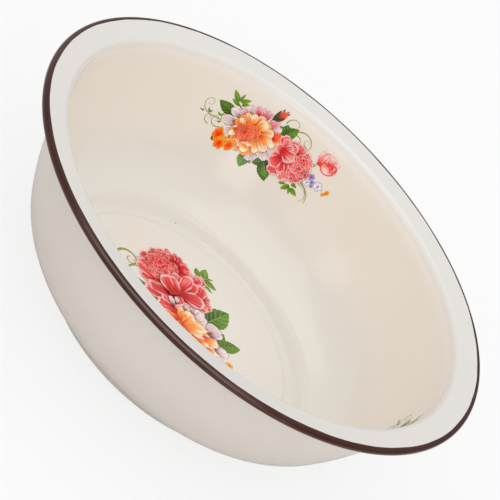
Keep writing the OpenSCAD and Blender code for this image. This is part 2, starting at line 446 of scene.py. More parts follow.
# Paints of the transfers: deep, middle and rim colour in sRGB, then the strength of the veins, of the
# light rim and of the dark outline, and how much of the rim colour comes in towards the tip
PAINTS = {
    "pale": ((130, 46, 40), (220, 194, 194), (246, 236, 236), 0.7, 0.4, 1, 0.6),
    "blush": ((178, 0, 34), (222, 104, 122), (248, 220, 226), 1, 0.3, 1, 0.5),
    "gold": ((216, 40, 0), (255, 146, 0), (255, 240, 204), 0.6, 0.4, 1, 0.95),
    "amber": ((190, 30, 0), (250, 110, 0), (255, 206, 120), 0.5, 0.6, 0.9, 0.4),
    "coral": ((204, 4, 0), (244, 60, 4), (255, 172, 126), 0.4, 0.8, 0.9, 0.2),
    "peony": ((202, 8, 22), (236, 54, 58), (255, 204, 198), 0.6, 1, 0.6, 0.2),
    "veined": ((204, 8, 24), (234, 60, 66), (255, 204, 200), 1, 1, 0.6, 0.5),
    "ruffle": ((186, 0, 14), (238, 48, 52), (255, 208, 202), 0.4, 1, 0.7, 0.2),
    "crimson": ((172, 0, 10), (218, 34, 42), (255, 196, 190), 0.6, 1, 0.6, 0.12),
    "scarlet": ((160, 0, 6), (220, 24, 32), (255, 186, 180), 0.4, 0.86, 0.7, 0.1),
    "stroke": ((224, 50, 54), (234, 66, 68), (240, 90, 90), 0, 0, 0, 0),
    "rose": ((236, 44, 50), (250, 138, 130), (255, 224, 216), 0.2, 0.3, 1, 0.8),
    "bud": ((150, 14, 0), (228, 58, 34), (246, 140, 110), 0.5, 0.3, 0.5, 0.3),
    "orange": ((248, 30, 0), (255, 84, 0), (255, 176, 0), 0.2, 0.4, 0.2, 0.6),
    "honey": ((220, 80, 0), (255, 162, 0), (255, 206, 70), 0.2, 0.4, 0.5, 0.4),
    "lilac": ((108, 78, 156), (160, 136, 194), (216, 208, 230), 0.2, 0.6, 0.3, 0.2),
    "mist": ((176, 160, 206), (240, 234, 242), (132, 112, 176), 0, 0.9, 0.5, 0),
    "leaf": ((24, 64, 0), (92, 142, 0), (160, 196, 84), 0.9, 0.1, 0.3, 0),
    "dark leaf": ((18, 50, 0), (72, 120, 2), (140, 180, 80), 0.9, 0.1, 0.3, 0),
    "pale leaf": ((22, 62, 0), (112, 156, 50), (186, 208, 140), 0.8, 0.1, 0.2, 0),
    "sprig": ((46, 90, 0), (122, 164, 10), (186, 206, 104), 0.6, 0.2, 0.3, 0),
    "tendril": ((120, 136, 40), (160, 168, 84), (192, 196, 130), 0, 0, 0, 0),
    "sepal": ((30, 34, 8), (66, 76, 14), (112, 124, 50), 0.3, 0.2, 0.2, 0),
}
GREENS = {"leaf", "dark leaf", "pale leaf", "sprig", "tendril", "sepal"}
COLOURS = ("deep", "middle", "rim")
# Height of the lowest card over the coat, from one layer to the next, and a card's thickness
FIRST_LIFT = 0.03 * MM
LAYER_LIFT = 0.004 * MM
CARD_T = 0.001 * MM
GOLDEN_ANGLE = math.radians(137.5)
# Seeds, which shift a card's noise and frills, run from nought to this
SEED_SPAN = 50
# Rows along and across the grid of a leaf, a petal, a small petal and a tendril
LEAF_GRID, PETAL_GRID, SMALL_GRID, TENDRIL_GRID = (25, 7), (10, 9), (5, 5), (60, 3)
# A card's usual share of its width at the root, bluntness of its tip, depth of its frills, sideways
# sway and depth of the teeth on its edge; and how much the tone varies from one card to the next
USUAL = {"neck": 0.25, "blunt": 0.5, "frill": 0.0, "sway": 0.0, "teeth": 0.0}
TONE_SPREAD = 0.05
# A ring's petals: how unevenly they are spaced, and the least count that their width goes by
UNEVEN, LEAST_COUNT = 0.18, 5
# A heart's petals: where the innermost lies in the count, and the scatter of their places and of their
# lean in radians. Then, as shares of their size, the least length, its spread and the half width, and
# the parts of the length behind and before their place
FIRST_PLACE, SCATTER, LEAN_SCATTER = 0.3, 0.25, 0.5
LEAST_LENGTH, LENGTH_SPREAD, HEART_HALF = 0.75, 0.35, 0.52
BEHIND, BEFORE = 0.55, 0.45
# A tendril's late turn goes by this power of along. How much it narrows, and its end's slope and width
LATE_TURN, NARROWS, END_SLOPE, END_WIDTH = 3, 0.65, 12, 0.2


class Brush:
    """Draws sets of petals and leaves, called cards, with one random source."""

    def __init__(self, seed):
        self.rng = np.random.default_rng(seed)

    def cards(self, root, tip, half, layer, paint, vary=TONE_SPREAD, **shape):
        """Cards from their roots, tips, half widths, layers and paint, with a seed and a tone each."""
        count = len(tip)
        numbers = {**USUAL, **shape, "half": half, "layer": layer}
        made = {key: np.broadcast_to(np.asarray(value, float), (count,)) for key, value in numbers.items()}
        return {**made, "root": root, "tip": tip, "seed": self.rng.uniform(0, SEED_SPAN, count),
                "tone": self.rng.normal(0, vary, count),
                "paint": np.full(count, list(PAINTS).index(paint))}

    def whorl(self, heart, centre, radius, count, paint, layer, gap=0.3, lap=1.15, turn=0.0,
              wobble=0.06, **more):
        """A ring of petals: tips spaced round a circle, roots part of the way there from the heart."""
        steps = (np.arange(count) + self.rng.uniform(-UNEVEN, UNEVEN, count)) / count
        reach = radius * (1 + wobble * self.rng.uniform(-1, 1, count))
        tip = centre + polar(reach, math.radians(turn) + 2 * math.pi * steps)
        root = heart + gap * (tip - heart)
        half = lap * np.linalg.norm(tip - heart, axis=1) * math.tan(math.pi / max(count, LEAST_COUNT))
        return self.cards(root, tip, half, layer + self.rng.permutation(count), paint, **more)

    def pompon(self, centre, radius, count, size, paint, layer, stretch=(1.0, 1.0), vary=0.14, **more):
        """A dense heart: small petals set at the golden angle, the outer ones lowest."""
        k = np.arange(count)[::-1]
        angle = k * GOLDEN_ANGLE + self.rng.uniform(-SCATTER, SCATTER, count)
        place = centre + polar(radius * np.sqrt((k + FIRST_PLACE) / count), angle) * stretch
        length = size * (LEAST_LENGTH + LENGTH_SPREAD * self.rng.random(count))
        lean = polar(length, angle + self.rng.uniform(-LEAN_SCATTER, LEAN_SCATTER, count))
        return self.cards(place - lean * BEHIND, place + lean * BEFORE, size * HEART_HALF,
                          layer + np.arange(count), paint, vary, **more)

    def petals(self, rows, paint, layer, **more):
        """Petals from rows of root x and y, tip x and y, and half width, the first row lowest."""
        rows = np.array(rows, float)
        layers = layer + np.arange(len(rows))
        return self.cards(rows[:, 0:2], rows[:, 2:4], rows[:, 4], layers, paint, **more)

    def leaves(self, rows, paint, layer, neck=0.04, **more):
        """Leaves from the same rows: narrow at the root, with no bluntness."""
        return self.petals(rows, paint, layer, neck=neck, blunt=0.0, **more)

    def blossoms(self, rows, lap=0.8):
        """Small open flowers from rows of x, y, radius, paint, layer, count of petals and turn."""
        return [self.whorl((x, y), (x, y), radius, count, paint, layer, gap=0.02, lap=lap, turn=turn)
                for x, y, radius, paint, layer, count, turn in rows]

    def tendrils(self, rows, layer, paint="tendril"):
        """Thin ribbons whose heading turns faster and faster: rows of start x and y, first heading,
        length, whole turn, the share of the turn that comes evenly, and width. The path is the running
        sum of the heading's direction, and the ribbon narrows towards its end."""
        steps, across = TENDRIL_GRID
        rows = np.array(rows, float)
        t = np.linspace(0, 1, steps)[None, :]
        x, y, heading, length, turn, even, width = rows.T[:, :, None]
        angle = np.radians(heading + turn * (even * t + (1 - even) * t ** LATE_TURN))
        path = np.cumsum(polar(length / (steps - 1), angle), axis=1) + np.stack([x, y], axis=-1)
        side = np.stack([np.sin(angle), -np.cos(angle)], axis=-1)
        a = np.linspace(-1, 1, across)
        taper = (1 - NARROWS * t) * np.minimum(1, (1 - t) * END_SLOPE + END_WIDTH) / 2
        points = path[:, :, None] + side[:, :, None] * (width * taper)[..., None, None] * a[:, None]
        count, shape = len(rows), points.shape[:3]
        meta = {"layer": layer + np.arange(count), "seed": self.rng.uniform(0, SEED_SPAN, count),
                "tone": np.zeros(count), "paint": np.full(count, list(PAINTS).index(paint))}
        return points, np.broadcast_to(a, shape), np.broadcast_to(t[..., None], shape), meta


# A petal is widest from this share of its length on, and how round it fills out. A leaf's belly lies
# below its middle; its teeth come every third row
WIDEST, FILL = 0.85, 1.2
BELLY, SLENDER, THINNEST = 0.8, 0.85, 0.02
TOOTH_ROWS, TOOTH_SHIFT = 3, 0.34
# Frills of a petal's top: two waves across half of it, the second one's share, and the power of across
# by which they die out at the sides
FRILL_WAVES, SECOND_SHARE, FRILL_FADE = (3.5, 6.5), 0.6, 6


def card_points(c, grid):
    """Grid over each card. Across runs from -1 to 1 and along from 0 to 1. A petal widens from its neck
    as a quarter wave and ends in a round, frilled top; a leaf, which has no bluntness, swells as a half
    wave with sawtooth edges and ends in a point. The top's form comes in with the cube of along, and
    the card bows sideways as along times what is left of it."""
    s = np.linspace(0, 1, grid[0])[None, :, None]
    a = np.linspace(-1, 1, grid[1])[None, None, :]
    neck, blunt, frill, sway, teeth, half, seed = (c[key][:, None, None] for key in (*USUAL, "half", "seed"))
    fan = neck + (1 - neck) * np.sin(np.pi / 2 * np.minimum(s / WIDEST, 1)) ** FILL
    saw = 1 + teeth * ((s * (grid[0] - 1) / TOOTH_ROWS + TOOTH_SHIFT) % 1 - 0.5) * np.abs(a)
    pointed = np.maximum(np.sin(np.pi * s ** BELLY), 0) ** SLENDER * saw
    is_leaf = blunt <= 0
    width = np.where(is_leaf, np.maximum(pointed, THINNEST), fan)
    top = 1 - blunt + blunt * np.sqrt(1 - np.minimum(a * a, 1))
    broad, fine = FRILL_WAVES
    waves = np.cos(broad * np.pi * a + seed) + SECOND_SHARE * np.cos(fine * np.pi * a + 2 * seed)
    top = np.where(is_leaf, 1, top + frill * waves * (1 - a ** FRILL_FADE))
    along_axis = s * (1 + (top - 1) * s ** 2)
    along = (c["tip"] - c["root"])[:, None, None, :]
    length = np.linalg.norm(along, axis=-1, keepdims=True)
    across = np.stack([along[..., 1], -along[..., 0]], axis=-1) / length
    sideways = half * a * width + sway * length[..., 0] * s * (1 - s) * 2
    points = c["root"][:, None, None, :] + along * along_axis[..., None] + across * sideways[..., None]
    return points, np.broadcast_to(a, points.shape[:3]), np.broadcast_to(s, points.shape[:3])


def sheet_of(sets, grid):
    """The grids of several sets of cards, ready for a spray."""
    c = {key: np.concatenate([one[key] for one in sets]) for key in sets[0]}
    return (*card_points(c, grid), c)


def sheet_faces(count, rows, cols):
    """Quads of closed cards: a front grid, a back grid after all fronts, and the strip round each edge."""
    base = np.arange(count)[:, None] * rows * cols
    front = (base[..., None] + grid_quads(rows, cols, False, False)).reshape(-1, 4)
    under = count * rows * cols
    ring = np.concatenate([np.arange(cols), cols - 1 + cols * np.arange(1, rows),
                           (rows - 1) * cols + np.arange(cols - 2, -1, -1),
                           cols * np.arange(rows - 2, 0, -1)])
    edge = base + ring
    onward = np.roll(edge, -1, axis=1)
    strip = np.stack([onward, edge, edge + under, onward + under], axis=-1).reshape(-1, 4)
    return np.concatenate([front, front[:, ::-1] + under, strip])


# Radius at which a wall spray's design has its true width
WALL_SPRAY_R = 154.0


def on_wall(bearing):
    """Lays a flat design on the wall: right is clockwise round the wall, up is height."""
    wall = skin(0)
    wall = wall[(wall[:, 0] > CREASE[0]) & (wall[:, 1] < MOUTH[1])]

    def lay(points, lift):
        height = points[..., 1] * MM
        radius = np.interp(height, wall[:, 1], wall[:, 0]) - lift
        angle = math.radians(bearing) - points[..., 0] / WALL_SPRAY_R
        return np.concatenate([polar(radius, angle), height[..., None]], axis=-1)
    return lay


def on_base(points, lift):
    """Lays a flat design on the base panel as it is."""
    return np.concatenate([points * MM, (FACE[0, 1] + lift)[..., None]], axis=-1)


def linear(srgb):
    """Colours of 0 to 255 by the sRGB curve: a straight below 0.04045, and above it a power of 2.4."""
    v = np.array(srgb) / 255
    return np.where(v <= 0.04045, v / 12.92, ((v + 0.055) / 1.055) ** 2.4)


def build_spray(name, node, sheets, lay, paints):
    """One mesh of closed cards. Each sheet is a grid of points, its two parameters and its cards' data;
    the parameters go into a UV map, and the paints and seeds into attributes."""
    verts, quads, uv, slots = [], [], [], []
    looks = {key: [] for key in (*COLOURS, "marks")}
    rows = list(PAINTS.values())
    table = [linear([one[k] for one in rows]) for k in range(3)]
    marks, reach = np.array([one[3:6] for one in rows]), np.array([one[6] for one in rows])
    green = np.array([key in GREENS for key in PAINTS])
    start = 0
    for points, a, s, meta in sheets:
        count, down, wide = points.shape[:3]
        lift = FIRST_LIFT + LAYER_LIFT * meta["layer"][:, None, None]
        lift = np.broadcast_to(lift, points.shape[:3])
        verts += [lay(points, lift).reshape(-1, 3), lay(points, lift - CARD_T).reshape(-1, 3)]
        faces = sheet_faces(count, down, wide)
        quads.append(faces + start)
        start += 2 * count * down * wide
        uv += 2 * [np.stack([(a + 1) / 2, s], axis=-1).reshape(-1, 2)]
        each = np.tile(np.repeat(np.arange(count), down * wide), 2)
        shade = np.exp(meta["tone"])[each][:, None]
        kind = meta["paint"][each]
        for key, colours, last in zip(COLOURS, table, (meta["seed"][each] / SEED_SPAN, np.ones(len(each)),
                                                       reach[kind])):
            looks[key].append(np.c_[np.minimum(colours[kind] * shade, 1.0), last])
        looks["marks"].append(marks[kind])
        slots.append(green[meta["paint"]][each[faces[:, 0]]])
    piece = mesh_piece(name, np.concatenate(verts), np.concatenate(quads))
    mesh = piece.data
    for key, parts in looks.items():
        kind, field = ("FLOAT_VECTOR", "vector") if key == "marks" else ("FLOAT_COLOR", "color")
        mesh.attributes.new(key, kind, "POINT").data.foreach_set(field, np.concatenate(parts).ravel())
    where = np.empty(len(mesh.loops), int)
    mesh.loops.foreach_get("vertex_index", where)
    mesh.uv_layers.new(name="card").data.foreach_set("uv", np.concatenate(uv)[where].ravel())
    for made in paints:
        mesh.materials.append(made)
    mesh.polygons.foreach_set("material_index", np.concatenate(slots).astype(int))
    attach(piece, "root")
    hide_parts(node)


def wall_leaves(b):
    """Leaves and twigs of the wall's spray."""
    return [
        b.leaves([[-35.4, 75, -52.2, 79.4, 4.4]], "dark leaf", 0, sway=-0.03, teeth=0.15),
        b.leaves([[3, 82, 0.4, 91.4, 4.2], [2.6, 82.4, -3.6, 87.4, 3], [2.6, 81.6, 8.6, 93.4, 4.6]],
                 "leaf", 2, sway=0.03, teeth=0.15),
        b.leaves([[-9.5, 57, -3.4, 52.2, 2.4], [-10.5, 57, -9, 46.4, 4.9]], "pale leaf", 5, teeth=0.15),
        b.leaves([[4.5, 60, -2.6, 53.8, 3.2], [3, 61, 13.9, 49, 5.2]], "dark leaf", 7, sway=0.03, teeth=0.1),
        b.leaves([[6, 58, 14.3, 52, 3.8]], "pale leaf", 9, sway=0.1, teeth=0.1),
        b.leaves([[-39, 84.4, -47.2, 91.6, 2], [-39, 85, -38.4, 92.6, 1.1], [-38, 85.2, -31.8, 90.2, 1.9],
                  [-36, 83.5, -31, 86.8, 1.3], [-36.5, 82.4, -44.8, 84.6, 1.4]], "sprig", 10),
        b.leaves([[30.5, 60.4, 36, 60.2, 1.3], [32.5, 57.4, 40, 56, 1.7], [31, 58.4, 27, 52.6, 2],
                  [27.2, 58, 22.8, 54.6, 1.3], [31.6, 57.6, 34.4, 53.2, 1.1]], "sprig", 16),
        b.leaves([[-53.5, 68, -56, 71.2, 0.8], [-54, 68, -51.6, 70.2, 0.7], [-44, 69.6, -48, 71, 0.8],
                  [-44.4, 69.6, -42.8, 72.2, 0.6], [-43.8, 64.4, -41, 66.4, 0.7],
                  [-57.6, 67.4, -62, 67.8, 0.6], [33.8, 79.5, 34.8, 82.2, 0.5],
                  [30.8, 80, 34.4, 82.4, 0.3]], "sprig", 21),
        b.leaves([[-33, 81, -39, 83.8, 0.4], [-11.2, 84.6, -9.6, 90, 0.8], [-8.8, 96.5, -8.6, 99.8, 0.5],
                  [-6, 97.5, -5.4, 100, 0.4], [-4.6, 96, -3.8, 99.4, 0.4]], "sepal", 24),
        b.leaves([[-39, 51.6, -39.6, 55.8, 1.9]], "dark leaf", 29),
        b.leaves([[35, 70.6, 52.5, 71.8, 0.4]], "tendril", 30),
    ]


def wall_petals(b):
    """Petals of the wall's spray: a golden bloom, a red peony, a rose and a bud."""
    return [
        b.petals([[-30, 76, -40.6, 78.4, 3.6], [-30, 70, -43, 69.4, 4.3], [-30, 66, -35.5, 60.4, 2.4],
                  [-26, 81, -29.5, 87.8, 3.6], [-24, 63, -28.8, 56.4, 4.6], [-20, 61, -19.8, 53.6, 4.2],
                  [-9, 62, -5.4, 53.2, 5], [-1, 67, 2.6, 59, 3.6], [-6, 79, -0.6, 85.8, 2.8],
                  [-1, 70.6, 6, 66.6, 3]], "pale", 32, frill=0.05, neck=0.45),
        b.petals([[-20, 83, -25, 90, 2.9], [-17, 84, -20.2, 91.2, 2.2], [-16, 84, -16.8, 91.6, 2],
                  [-14.6, 84, -13.6, 91.2, 1.9], [-10, 80, -8.6, 88.2, 2.4], [-9, 80, -5.2, 88.8, 2.6],
                  [-28, 78, -33, 83, 1.8]], "blush", 42, frill=0.04, neck=0.6),
        b.petals([[-6, 76, 4, 81, 3.6], [-3, 76, 3.6, 77, 2.8]], "coral", 49, frill=0.03),
        b.petals([[-31, 66, -8, 70.5, 11]], "amber", 51, neck=0.7),
        b.whorl((-18.5, 70.5), (-16.5, 70), 16.2, 13, "amber", 52, gap=0.4, lap=1, turn=8, wobble=0.05),
        b.petals([[-0.6, 75.4, 6.6, 75.4, 1.5], [0, 72.6, 6.4, 72.2, 1.2], [-18, 76, -17, 85.6, 3.6],
                  [-22, 64, -23, 59.6, 2.2], [-19.5, 64, -19.6, 57.2, 2.3], [-16.5, 64, -13.4, 55.8, 3.8],
                  [-21, 74, -28.8, 82, 2.5], [-24, 67, -32, 61.6, 2.6]], "gold", 65, frill=0.03),
        b.petals([[-20, 74, -22.8, 84.2, 3], [-13, 73, -2.6, 79.2, 3.8], [-12.5, 70.6, -5.4, 59.8, 3.2],
                  [-12, 71.4, 0.2, 65, 4], [-12.5, 72.6, 3.6, 71.4, 3], [-16.5, 73.6, -11.2, 83.6, 5],
                  [-15.4, 69, -13, 61, 3.4], [-18.5, 66, -17.6, 60.8, 2.6], [-22, 70, -31.2, 67, 2.6],
                  [-22, 71.4, -30.8, 75.8, 2.2]], "gold", 73, frill=0.03),
        b.petals([[-20, 69, -10.8, 74.4, 2.6], [-18, 69, -9.6, 69.6, 2.2], [-19, 68, -11.4, 65, 2.4],
                  [-20, 70, -15.6, 76.6, 2.6]], "coral", 83, frill=0.06),
        b.petals([[8, 69.5, 35.4, 71.5, 11], [14, 72, 5, 70.6, 6.4], [12, 76, 3, 84, 4.6],
                  [14, 78, 13.4, 86, 3.4], [19, 78, 20, 86.6, 4.4], [25, 78, 27.2, 84.8, 3.6],
                  [28, 78, 33.6, 78.8, 2.8], [12, 66, 15.6, 56, 6.8], [21, 65, 25.4, 57.4, 6.2],
                  [29, 68, 33, 62.4, 3.6], [24, 72, 36, 71, 5], [24, 76, 35.4, 75.4, 3]],
                 "peony", 90, frill=0.06, neck=0.5),
        b.petals([[19, 72, 24.4, 68.8, 3.4], [21, 74, 23.4, 77.6, 3], [10, 73, 4.6, 76.4, 3],
                  [11, 76, 6.8, 83.4, 3.6], [12, 75, 16.4, 83.4, 4.4]], "peony", 102, frill=0.04, neck=0.5),
        b.petals([[12, 70, 5, 66.6, 4], [20, 66, 31.4, 61.6, 3], [15, 69, 26.4, 58.8, 3.8],
                  [13.6, 69, 18.4, 59.8, 3.8], [12, 70.6, 8.8, 60.2, 5.6]],
                 "peony", 107, frill=0.03, neck=0.3),
        b.petals([[8.6, 74.2, 16, 79.6, 4], [9.2, 74, 20.6, 72.6, 5.6]],
                 "veined", 112, frill=0.04, neck=0.3),
        b.petals([[41, 86, 40.4, 96, 5.2], [41, 87, 48.6, 88.4, 5.6], [41, 88, 47.2, 93.6, 3.2],
                  [39, 87, 36.4, 95, 2.6]], "rose", 32, neck=0.6, frill=0.02),
        b.petals([[37.4, 83, 37.2, 93.4, 1.8], [46.6, 83.6, 47.2, 91.4, 1.6], [42.2, 90.2, 42, 81.2, 5.4],
                  [35.4, 83, 33, 94.4, 2.6]], "rose", 48, neck=0.5, frill=0.02),
        b.leaves([[-9.8, 87.6, -5.2, 99.2, 3.4]], "bud", 40, neck=0.3),
        b.leaves([[-10.8, 86.6, -10.2, 97.4, 1.3], [-9.8, 88, -8.2, 95.4, 0.4],
                  [-10.6, 87, -4.2, 93.6, 1.4]], "sepal", 41),
    ]


def wall_small(b):
    """Small petals of the wall's spray: dense hearts and blossoms."""
    return [
        b.pompon((-21, 68.4), 7.6, 30, 4.8, "coral", 88, stretch=(1.05, 0.82), frill=0.1, vary=0.16),
        b.pompon((28.4, 71.6), 9.2, 50, 3.9, "ruffle", 110, stretch=(0.8, 1.15), frill=0.12),
        b.pompon((26, 78), 4.6, 14, 3.4, "ruffle", 162, frill=0.12),
        b.pompon((43, 91.4), 2.6, 7, 2.9, "rose", 37, frill=0.05),
    ] + b.blossoms([
        (-37.4, 57.4, 5, "orange", 60, 6, 20), (-33, 52.6, 4.9, "orange", 66, 6, 0),
        (-25.6, 54.6, 4.1, "orange", 72, 5, 40), (-38, 61.4, 2.2, "honey", 58, 4, 0),
        (-34.6, 55.4, 1.7, "honey", 78, 4, 0), (-29.4, 55.2, 1.8, "honey", 78, 4, 0),
        (-31, 57.8, 1.6, "honey", 58, 4, 0), (54.6, 73.4, 1.9, "honey", 33, 4, 50),
        (54, 71.8, 1.3, "orange", 39, 4, 0), (52.9, 70.2, 1.5, "honey", 44, 4, 0),
        (38.4, 73.4, 2.7, "lilac", 33, 5, 20), (41, 70.6, 2.2, "lilac", 40, 4, 60),
        (38.4, 68.4, 2.9, "mist", 46, 5, 0), (46.4, 71.8, 3.6, "mist", 33, 5, 12),
        (46.4, 71.8, 0.9, "lilac", 40, 4, 0), (42.6, 68.4, 1.4, "lilac", 52, 4, 0),
    ])


def wall_design(seed):
    """The wall's spray in millimetres: right of its bearing, and height above the floor."""
    b = Brush(seed)
    curls = b.tendrils([
        [-40, 67.4, 184, 41, -455, 0, 0.8], [-39.6, 62.4, 215, 22.4, -430, 0.4, 0.8],
        [-49, 60.4, 186, 16.6, -420, 0.4, 0.7], [-1.4, 91, 96, 16.4, -230, 0.6, 0.8],
        [8.4, 91, 48, 23.4, -175, 0.8, 1], [22, 86.4, 190, 13, -330, 0.5, 0.5],
        [8.2, 88.2, 34, 10, -135, 0.8, 0.9], [32, 65.3, 2, 20, -95, 0.5, 1.2],
        [33, 63.6, 2, 10, -30, 0.8, 0.6], [40, 64.2, -30, 13, -150, 0.3, 0.6],
    ], 12)
    rose_lines = b.tendrils([
        [36.6, 86.2, -80, 20, 200, 1, 1.1], [37.8, 88.2, -22, 9, 44, 1, 0.8],
        [36.2, 83.4, 140, 14.5, -110, 1, 0.8], [36.4, 83.6, 112, 11.5, -30, 1, 0.8],
        [48.2, 87.6, 84, 24, 600, 0.8, 0.9], [37.6, 84.4, 96, 9.6, -14, 1, 0.8],
    ], 54, "stroke")
    return [sheet_of(wall_leaves(b), LEAF_GRID), sheet_of(wall_petals(b), PETAL_GRID),
            sheet_of(wall_small(b), SMALL_GRID), curls, rose_lines]


def base_leaves(b):
    """Leaves and twigs of the base panel's spray."""
    return [
        b.leaves([[15.6, 26, 22.6, 54.4, 9.4], [-8, -12, -32, -22, 6.5]], "leaf", 0, sway=0.02, teeth=0.18),
        b.leaves([[33.5, 16, 45.6, 32, 5.8], [33, 17, 29.8, 31, 4]], "leaf", 2, sway=-0.05, teeth=0.18),
        b.leaves([[-16, 2.2, -41, 4.2, 4.4], [18, -22, 32, -42, 7]], "dark leaf", 4, sway=-0.04, teeth=0.18),
        b.leaves([[-8, 63.6, -10.8, 74.8, 3.6], [-11, 60.6, -16.8, 67.4, 3], [-7, 63.6, 5, 64.4, 3.1],
                  [-4, 59, 4.4, 58, 1.6], [-8, 56, -7.6, 64.4, 0.6], [-6.4, 66, -1.4, 71, 1]], "sprig", 6),
        b.leaves([[32, 2.2, 46, 6.2, 0.6]], "sepal", 12),
    ]


def base_petals(b):
    """Petals of the base panel's spray: a red peony and, half hidden behind the near rim, a golden bloom."""
    return [
        b.petals([[-10, 0, 40, 2, 22]], "pale", 12, neck=0.7),
        b.petals([[12, 16, 15.6, 28, 6], [-2, 17, -6.6, 26, 5], [6, 18, 7.6, 30.6, 7.4],
                  [22, 16, 25.4, 31, 8.2], [33, 8, 42, 16.4, 5.4], [30, 0, 41, 5.6, 5],
                  [28, -6, 39, -8, 6], [22, -12, 30, -20, 6.6], [8, -18, 12, -30, 7.4],
                  [-4, -14, -10, -24, 6.6]], "pale", 13, frill=0.05, neck=0.5),
        b.petals([[-14, -4, 32, -2, 19]], "amber", 24, neck=0.7),
        b.whorl((7, -1), (8, -3), 24, 15, "amber", 25, gap=0.3, lap=1, turn=5, wobble=0.05),
        b.petals([[-6, 9, -18.6, 13.4, 3.6], [-6, 11, -13.4, 20.4, 2.4]], "gold", 40, frill=0.04),
        b.petals([[5, 2, 23, 10.4, 4], [20, 10, 33.6, 14, 4.8], [20, 2, 29.6, 4.6, 3.8],
                  [27, 3, 37.4, 5.4, 3.4], [2, -2, -16.8, 2.4, 5.4], [3, 4, 20.4, 18.4, 5],
                  [1, 4, -8.6, 17.6, 5.4], [3, 3, 5.6, 20.6, 6.4], [8, -6, 26, -12, 6],
                  [6, -8, 10, -24, 6.2], [2, -6, -12, -14, 6]], "gold", 42, frill=0.05, neck=0.2),
        b.petals([[4, 1, 14, 9.6, 1.6], [4, 1, 8.4, 13, 1.3], [3, 1, 2.6, 12, 1]], "amber", 53, neck=0.3),
        b.petals([[-46, 30, -2, 32, 22]], "crimson", 59, neck=0.7),
        b.whorl((-27, 33), (-24, 33), 25, 13, "crimson", 60, gap=0.3, lap=1.1, turn=12, frill=0.05),
        b.petals([[2, 36, 11.4, 44, 6], [0, 34, 11.4, 36.6, 5], [-8, 50, -8, 62.4, 6],
                  [2, 42, 4, 50.6, 5], [-12, 11, -34, 5, 6], [-4, 9, -20, 2.4, 6],
                  [-30, 16, -41.6, 12, 5], [-30, 24, -50.2, 23.6, 4.6], [-28, 20, -49.4, 16.6, 4.4],
                  [-44, 30, -51.6, 31, 4.6], [-42, 40, -48.8, 43.6, 3.4]],
                 "crimson", 73, frill=0.05, neck=0.4),
        b.petals([[-12, 48, -8, 60.4, 5], [-8, 18, -19.4, 8.4, 4.4], [-12, 20, -33.6, 9.4, 5.6],
                  [-18, 30, -27, 42, 4]], "crimson", 85, frill=0.03, neck=0.4),
        b.petals([[-16, 28, -24, 42, 4.6], [0, 36, -3.4, 54.4, 5.4], [-6, 34, -8.4, 50, 4],
                  [-13, 26, -14, 52.6, 5.4]], "crimson", 240, frill=0.02, neck=0.35),
        b.petals([[-12, 26.6, 7, 38.4, 7.8]], "crimson", 246, frill=0.02, neck=0.3),
        b.petals([[-12.5, 22, -28.4, 31.2, 9.4]], "crimson", 260, frill=0.03, neck=0.6, blunt=0.4),
    ]


def base_small(b):
    """Small petals of the base panel's spray: dense hearts, blossoms and two pale tips."""
    return [
        b.pompon((-35, 38), 14, 84, 5.8, "scarlet", 92, stretch=(0.85, 1.25), frill=0.12),
        b.whorl((-28, 45), (-27, 45.6), 14.6, 20, "scarlet", 180, gap=0.35, lap=1.5, turn=4, frill=0.1,
                vary=0.14),
        b.pompon((-36.5, 37), 10.4, 34, 5, "scarlet", 202, frill=0.12),
        b.pompon((8, -8), 9.6, 34, 5.4, "coral", 56, frill=0.1),
        *b.blossoms([(47.6, 7, 3.6, "honey", 14, 5, 10)], lap=1.1),
        *b.blossoms([(-10, -29, 6.5, "orange", 24, 5, 0), (1, -36, 5.5, "orange", 30, 5, 30),
                     (36, -17, 3.2, "lilac", 24, 4, 0), (40, -21, 3.2, "lilac", 28, 4, 20),
                     (37, -24, 3.2, "lilac", 32, 4, 40), (43, -26, 3.2, "lilac", 36, 4, 60)]),
        b.petals([[-7.6, 10.4, -15.8, 15.8, 2.7], [-7.4, 14.6, -11.6, 20.2, 2.1]], "pale", 262, frill=0.05),
    ]


def base_design(seed):
    """The base panel's spray in millimetres across the panel."""
    b = Brush(seed)
    curls = b.tendrils([[-62.8, 10.2, 92, 39, -432, 0.46, 2.2], [-49.4, 5.2, 96, 13, -84, 0.8, 2]], 8)
    return [sheet_of(base_leaves(b), LEAF_GRID), sheet_of(base_petals(b), PETAL_GRID),
            sheet_of(base_small(b), SMALL_GRID), curls]


def card_look(n):
    """What a card's material reads: the place across and along it, the distance from its middle line,
    its colours and seed, the strengths of its veins, light rim and outline, and how much of the rim
    colour comes in towards the tip."""
    across, along, _ = n.split(n.add("ShaderNodeUVMap", uv_map="card").outputs[0])
    seen = {key: n.add("ShaderNodeAttribute", attribute_name=key).outputs for key in (*COLOURS, "marks")}
    veins, rims, lines = n.split(seen["marks"]["Vector"])
    return SimpleNamespace(
        across=across, along=along, off_middle=n.math("ABSOLUTE", n.scaled(across, 2.0, -1.0)),
        seed=n.times(seen["deep"]["Alpha"], SEED_SPAN), veins=veins, rims=rims, lines=lines,
        reach=seen["rim"]["Alpha"], **{key: seen[key]["Color"] for key in COLOURS})


# Streaks along a card: the noise's scale along it, and each kind's count across it, the noise where it
# starts and is full, and its shift; the share of the dark ones, and where the light ones come in
STREAK_STRETCH = 0.9
SOFT_STREAKS = (4.0, 0.3, 0.7, 0.0)
DARK_STREAKS, DARK_SHARE = (13.0, 0.56, 0.68, 9.0), 0.6
LIGHT_STREAKS, LIGHT_SPAN = (11.0, 0.56, 0.7, 19.0), (0.25, 0.7)


